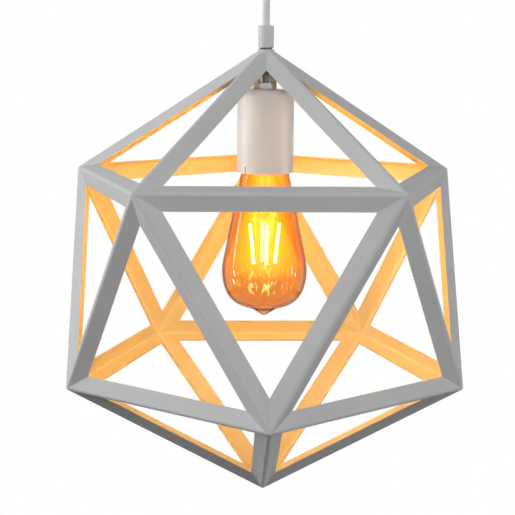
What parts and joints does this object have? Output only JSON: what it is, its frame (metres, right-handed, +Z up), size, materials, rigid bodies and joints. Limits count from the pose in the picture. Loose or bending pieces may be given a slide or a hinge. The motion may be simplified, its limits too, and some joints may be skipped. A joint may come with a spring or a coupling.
{
  "type": "pendant lamp",
  "caption": "Pendant lamp with an open faceted cage of thin white angle-section struts round a filament bulb in a cylindrical holder, hung on a cord from a ceiling rose.",
  "frame": {"origin": "middle of the ceiling rose's face against the ceiling; the lamp hangs below it along -Z", "axes": "+Z up, out of the ceiling face; -Y is the side seen in the picture, with a lower ring corner of the cage to the front; +X to the right"},
  "size_m": [0.2892, 0.304, 0.4551],
  "materials": {
    "cage_paint": "white fine-texture powder coat, satin",
    "grip_paint": "white powder coat, satin",
    "holder_paint": "white paint, satin",
    "rose_paint": "white powder coat, satin",
    "plated_steel": "bright plated",
    "porcelain": "white glazed porcelain",
    "contact_brass": "bright",
    "cord_sheath": "light grey-white, smooth",
    "bulb_glass": "amber coated, clear",
    "stem_glass": "clear",
    "filament": "yellow phosphor, lit",
    "cap_brass": "bright",
    "black_glass": "black, gloss",
    "block_plastic": "natural white"
  },
  "bodies": {
    "ceiling_rose": {"rose_cup": "rose_paint", "rose_bracket": "plated_steel", "rose_screws": "plated_steel", "rose_cord_grip": "grip_paint", "rose_grip_screw": "plated_steel", "rose_threaded_tube": "plated_steel", "rose_nut": "plated_steel", "terminal_block": "block_plastic", "rose_cord_end": "cord_sheath"},
    "cord_bend": {"cord_bend": "cord_sheath"},
    "drop_cord": {"drop_cord": "cord_sheath"},
    "pendant": {"crown_strut_1": "cage_paint", "crown_strut_2": "cage_paint", "crown_strut_3": "cage_paint", "crown_strut_4": "cage_paint", "crown_strut_5": "cage_paint", "upper_ring_strut_1": "cage_paint", "upper_ring_strut_2": "cage_paint", "upper_ring_strut_3": "cage_paint", "upper_ring_strut_4": "cage_paint", "upper_ring_strut_5": "cage_paint", "zigzag_strut_1": "cage_paint", "zigzag_strut_2": "cage_paint", "zigzag_strut_3": "cage_paint", "zigzag_strut_4": "cage_paint", "zigzag_strut_5": "cage_paint", "zigzag_strut_6": "cage_paint", "zigzag_strut_7": "cage_paint", "zigzag_strut_8": "cage_paint", "zigzag_strut_9": "cage_paint", "zigzag_strut_10": "cage_paint", "lower_ring_strut_1": "cage_paint", "lower_ring_strut_2": "cage_paint", "lower_ring_strut_3": "cage_paint", "lower_ring_strut_4": "cage_paint", "lower_ring_strut_5": "cage_paint", "base_strut_1": "cage_paint", "base_strut_2": "cage_paint", "base_strut_3": "cage_paint", "base_strut_4": "cage_paint", "base_strut_5": "cage_paint", "cage_collar": "cage_paint", "cage_lock_nut": "plated_steel", "threaded_tube": "plated_steel", "cord_grip": "grip_paint", "cord_grip_screw": "plated_steel", "holder_nut": "plated_steel", "holder_cover": "holder_paint", "holder_insert": "porcelain", "socket_shell": "plated_steel", "socket_contact": "contact_brass", "holder_terminals": "contact_brass", "lamp_cord_end": "cord_sheath"},
    "bulb_eyelet": {"bulb_eyelet": "contact_brass"},
    "bulb": {"bulb_glass": "bulb_glass", "bulb_stem": "stem_glass", "bulb_filaments": "filament", "bulb_wires": "plated_steel", "bulb_cap": "cap_brass", "bulb_insulator": "black_glass"}
  },
  "joints": [
    {"name": "swing_fore_aft", "type": "hinge", "parent": "ceiling_rose", "child": "cord_bend", "pos_m": [0, 0, -0.041], "axis": [1, 0, 0], "range_deg": [-30, 30], "deforming": ["cord_bend"]},
    {"name": "swing_sideways", "type": "hinge", "parent": "cord_bend", "child": "drop_cord", "pos_m": [0, 0, -0.053], "axis": [0, 1, 0], "range_deg": [-30, 30], "deforming": ["cord_bend", "drop_cord"]},
    {"name": "cord_twist", "type": "hinge", "parent": "drop_cord", "child": "pendant", "pos_m": [0, 0, -0.101], "axis": [0, 0, 1], "range_deg": [-180, 180], "deforming": ["drop_cord"]},
    {"name": "bulb_advance", "type": "slide", "parent": "pendant", "child": "bulb_eyelet", "axis": [0, 0, -1], "range_m": [0, 0.0272]},
    {"name": "bulb_turn", "type": "hinge", "parent": "bulb_eyelet", "child": "bulb", "pos_m": [0, 0, -0.2], "axis": [0, 0, -1], "range_deg": [0, 2700]}
  ],
  "couplings": [
    {"joint": "bulb_turn", "follows": "bulb_advance", "rad_per_m": 1731.4}
  ]
}
